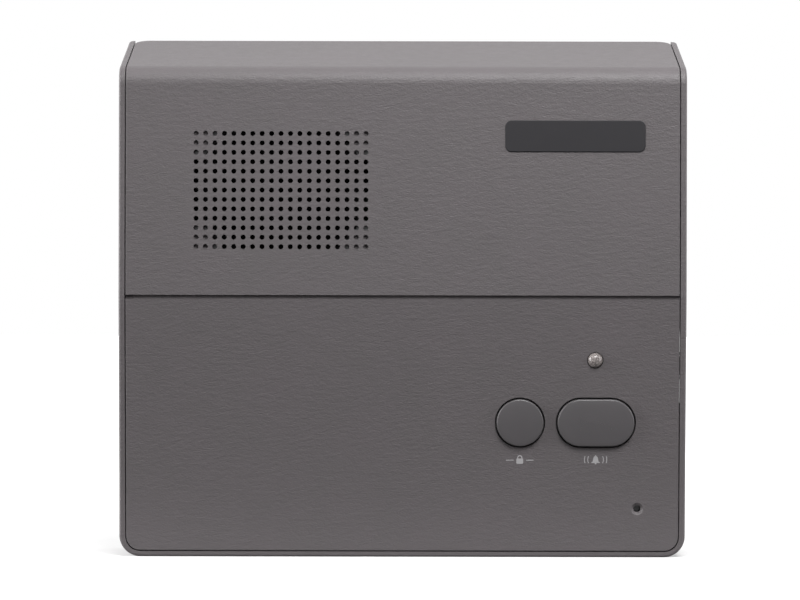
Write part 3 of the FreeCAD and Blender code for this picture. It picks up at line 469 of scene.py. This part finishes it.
def key_cap(name, body, node, x, radius, half_straight, pins):
    """A cap with a round edge and a slight crown, on a flange, with its stem and guide pins."""
    piece = begin(name, add_rod, x=0, up=0, radius=radius + flange_width, back=flange_back,
                  front=flange_front, sides=130)
    for side in (-1, 1):
        pick("verts", lambda point, _: point.x * side > 0)
        bpy.ops.transform.translate(value=(side * half_straight, 0, 0))
    pick_front()
    bpy.ops.mesh.inset(thickness=flange_width)
    pull(key_proud - flange_front)
    bpy.ops.mesh.bevel(offset=key_edge, segments=4)
    pick("faces", lambda middle, normal: normal.z > 0.99 and middle.z > key_proud - 0.01)
    for rise in crown_rises:
        bpy.ops.mesh.inset(thickness=(radius - key_edge) / crown_rings, depth=rise)
    add_rod(0, 0, stem_radius, stem_end, flange_back, rod_sides)
    for pin in pins:
        add_rod(pin, 0, pin_radius, pin_end, flange_back, rod_sides)
    bpy.ops.mesh.select_all(action="SELECT")
    bpy.ops.transform.translate(value=(x, -key_drop, 0))
    set_down(piece, on_lower, body, "key_plastic", replaces=[node])


key_cap("round_key", "privacy_key", "privacy_button", round_key_x, radius=7.75, half_straight=0, pins=[])
key_cap("oval_key", "call_key", "call_button", oval_key_x, radius=7.8, half_straight=4.9,
        pins=[-10.5, 10.5])


# ---------------------------------------------------------------- lamp

lamp_x = 63.85
lamp_drop = 20.75                   # from the groove, down the lower panel
lens_flange_radius = 2.9
lens_flange_back = -7.2
lens_flange_front = -6.2
lens_step = 0.4                     # the flange's width round the barrel of the lens
dome_start = -0.5
dome_rise = 2.1
dome_spread = 2.67                  # half width of the ellipse that the dome is drawn along
dome_rings = 12
rings_to_top = 12.3                 # of the whole ellipse; the dome stops a little before its top

lens = begin("lamp_lens", add_rod, x=lamp_x, up=-lamp_drop, radius=lens_flange_radius,
             back=lens_flange_back, front=lens_flange_front, sides=72)
pick_front()
bpy.ops.mesh.inset(thickness=lens_step)
pull(dome_start - lens_flange_front)
for ring in range(dome_rings):
    before, after = [math.pi / 2 * index / rings_to_top for index in (ring, ring + 1)]
    bpy.ops.mesh.inset(thickness=dome_spread * (math.cos(before) - math.cos(after)),
                       depth=dome_rise * (math.sin(after) - math.sin(before)))
set_down(lens, on_lower, "case", "lens_resin", replaces=["status_led"], smooth=40)

cup_x = lamp_x - 0.4
cup_radius = 1.25
cup_back = -3.9
cup_front = -1.5
cup_wall = 0.12
cup_depth = 0.7
cup_floor = 0.45                    # its width as a share of the mouth's
chip_size = 0.42
chip_middle = -1.99
leg_aside = 1.27
leg_width = 0.5
leg_end = -19.1
cup_leg_top = -3.8
bridge_leg_top = -1.9
bridge_middle = (lamp_x + 1.2, -lamp_drop, -1.75)
bridge_size = (0.9, 0.6, 0.3)

cup = begin("lamp_cup", add_rod, x=cup_x, up=-lamp_drop, radius=cup_radius, back=cup_back, front=cup_front,
            sides=40)
pick_front()
bpy.ops.mesh.inset(thickness=cup_wall)
pull(-cup_depth)
bpy.ops.transform.resize(value=(cup_floor, cup_floor, 1))
add_block((cup_x, -lamp_drop, chip_middle), (chip_size, chip_size, chip_size))
for side, top in ((-1, cup_leg_top), (1, bridge_leg_top)):
    add_block((lamp_x + side * leg_aside, -lamp_drop, (top + leg_end) / 2),
              (leg_width, leg_width, top - leg_end))
add_block(bridge_middle, bridge_size)
set_down(cup, on_lower, "case", "tag_brass", finish=finishes["capsule_aluminium"])


# ---------------------------------------------------------------- badge plate, left bare

badge_middle = (57.05, 139.66, -0.35)
badge_size = (46.3, 10.4, 1.3)
badge_corner = 2.0
badge_edge = 0.15
badge_border = 0.1                  # a flat strip inside the edge that keeps the face's shading even

badge = begin("badge_blank", add_block, middle=badge_middle, size=badge_size)
round_corners(badge_corner, segments=8)
pick_front()
bpy.ops.mesh.bevel(offset=badge_edge, segments=3)
pick("faces", lambda _, normal: normal.z > 0.99)
bpy.ops.mesh.inset(thickness=badge_border)
set_down(badge, on_upper, "case", "badge_plastic", replaces=["badge_plate"])


# ---------------------------------------------------------------- printed marks under the keys

mark_drop = 53.8
ink_height = 0.012                  # of the middle of the film of ink above the panel
flattening = 0.004                  # what is left of a mark's own thickness


def print_mark(mark, x):
    """Presses everything drawn so far into a film of ink under the key at x."""
    bpy.ops.mesh.select_all(action="SELECT")
    bpy.ops.transform.resize(value=(1, 1, flattening), center_override=(0, 0, 0))
    bpy.ops.transform.translate(value=(x, -mark_drop, ink_height))
    set_down(mark, on_lower, "case", "key_plastic", finish=print_ink)


padlock = begin("padlock_mark", add_block, middle=(0, -0.55, 0), size=(2.3, 1.75, 1))
round_corners(0.3, segments=3)
add_ring(0.68, wire=0.17, sides=36, up=0.6)
for side in (-1, 1):
    add_block((side * 3.3, -0.2, 0), (2.5, 0.3, 1))
print_mark(padlock, round_key_x)

wave_wire = 0.14
wave_half_height = 1.15
bell_dome = 0.72

bell = begin("bell_mark", add_ring, radius=2.6, wire=wave_wire, sides=72)
add_ring(3.7, wire=wave_wire, sides=96)
for up in (1, -1):
    bpy.ops.mesh.select_all(action="SELECT")
    bpy.ops.mesh.bisect(plane_co=(0, up * wave_half_height, 0), plane_no=(0, up, 0), clear_outer=True,
                        use_fill=True)
bpy.ops.mesh.primitive_cone_add(vertices=32, radius1=1.05, radius2=bell_dome, depth=1.3,
                                location=(0, -0.15, 0), rotation=(-math.pi / 2, 0, 0))
add_ball(bell_dome, up=0.5, sides=24)
add_block((0, -0.92, 0), (2.8, 0.34, 1))
add_ball(0.3, up=-1.25, sides=16)
add_ball(0.2, up=1.3, sides=16)
print_mark(bell, oval_key_x)


# ---------------------------------------------------------------- springs copied from the part's own

weld_distance = 0.001 * mm

for key in ("privacy", "call"):
    spring = bpy.data.objects.new(key + "_coil", nodes[key + "_spring"].data.copy())
    bpy.context.scene.collection.objects.link(spring)
    bpy.ops.object.select_all(action="DESELECT")
    spring.select_set(True)
    bpy.context.view_layer.objects.active = spring
    bpy.ops.object.mode_set(mode="EDIT")
    bpy.ops.mesh.select_all(action="SELECT")
    bpy.ops.mesh.remove_doubles(threshold=weld_distance)
    bpy.ops.object.mode_set(mode="OBJECT")
    spring.data.materials.clear()
    spring.data.materials.append(finishes["spring_steel"])
    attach(spring, "case")
    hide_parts(key + "_spring")
    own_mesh(spring)


# ---------------------------------------------------------------- studio

def floor_paper():
    """Pale paper that takes the case's shadow and, to the camera, fades to white away from the case.

    To light that bounces it is dark before the case and grey under and behind it.
    """
    paint = new_paint("floor_paper")
    rays = paint.node("ShaderNodeLightPath", {}, {}, out="Is Camera Ray")
    away = paint.node("ShaderNodeVectorMath", {"operation": "LENGTH"}, {0: paint.place()}, out="Value")
    glow = paint.slope(away, 0.12, 0.5, low=0.3, high=1.0)
    behind = paint.slope(paint.axis("Y", paint.place()), -0.065, -0.040, low=0.0, high=1.0)
    bounced = paint.between(behind, grey(0), grey(0.33))
    tone = paint.between(rays, bounced, grey(0.62))
    paper = paint.node("ShaderNodeBsdfDiffuse", {}, {"Color": tone})
    light = paint.node("ShaderNodeEmission", {}, {"Color": grey(1), "Strength": glow * rays})
    both = paint.node("ShaderNodeAddShader", {}, {0: paper, 1: light})
    paint.node("ShaderNodeOutputMaterial", {}, {"Surface": both})
    return paint.owner


def light_air():
    """A white world for the camera and through the lens, dimmer on the side that lights the panels."""
    world = bpy.data.worlds.new("studio")
    bpy.context.scene.world = world
    paint = Paint(world)
    camera_ray, inner_ray = [paint.node("ShaderNodeLightPath", {}, {}, out=name) for name in
                             ("Is Camera Ray", "Is Transmission Ray")]
    direction = paint.node("ShaderNodeTexCoord", {}, {}, out="Generated")
    backdrop = paint.slope(paint.axis("Y", direction), -0.3, 0.3, low=0.3, high=1.0)
    seen = camera_ray | inner_ray | backdrop
    sky = paint.node("ShaderNodeBackground", {}, {"Color": grey(1), "Strength": seen})
    paint.node("ShaderNodeOutputWorld", {}, {"Surface": sky})


def softbox(name, elevation, azimuth, distance, size, level):
    """An area lamp aimed at the middle of the panels; level 1 lights a facing surface as written."""
    lamp = bpy.data.objects.new(name, bpy.data.lights.new(name, "AREA"))
    bpy.context.scene.collection.objects.link(lamp)
    lamp.data.shape = "RECTANGLE"
    lamp.data.size, lamp.data.size_y = size
    lamp.data.energy = level * (math.pi * distance) ** 2
    up, turn = math.radians(elevation), math.radians(azimuth)
    aim = Vector((math.cos(up) * math.sin(turn), -math.cos(up) * math.cos(turn), math.sin(up)))
    lamp.location = Vector((0, panel_face, groove_height)) + aim * distance
    lamp.rotation_mode = "QUATERNION"
    lamp.rotation_quaternion = aim.to_track_quat("Z", "Y")
    lamp.visible_camera = False


bpy.ops.object.select_all(action="DESELECT")
bpy.ops.mesh.primitive_plane_add(size=14, location=(0, 0, 0))
floor = bpy.context.object
floor.name = "floor"
floor.data.materials.append(floor_paper())
light_air()
softbox("key_light", elevation=50, azimuth=19, distance=0.72, size=(0.40, 0.34), level=1.1)
softbox("left_fill", elevation=10, azimuth=-84, distance=0.9, size=(0.5, 0.7), level=1.5)
softbox("right_fill", elevation=10, azimuth=82, distance=0.9, size=(0.5, 0.7), level=0.5)
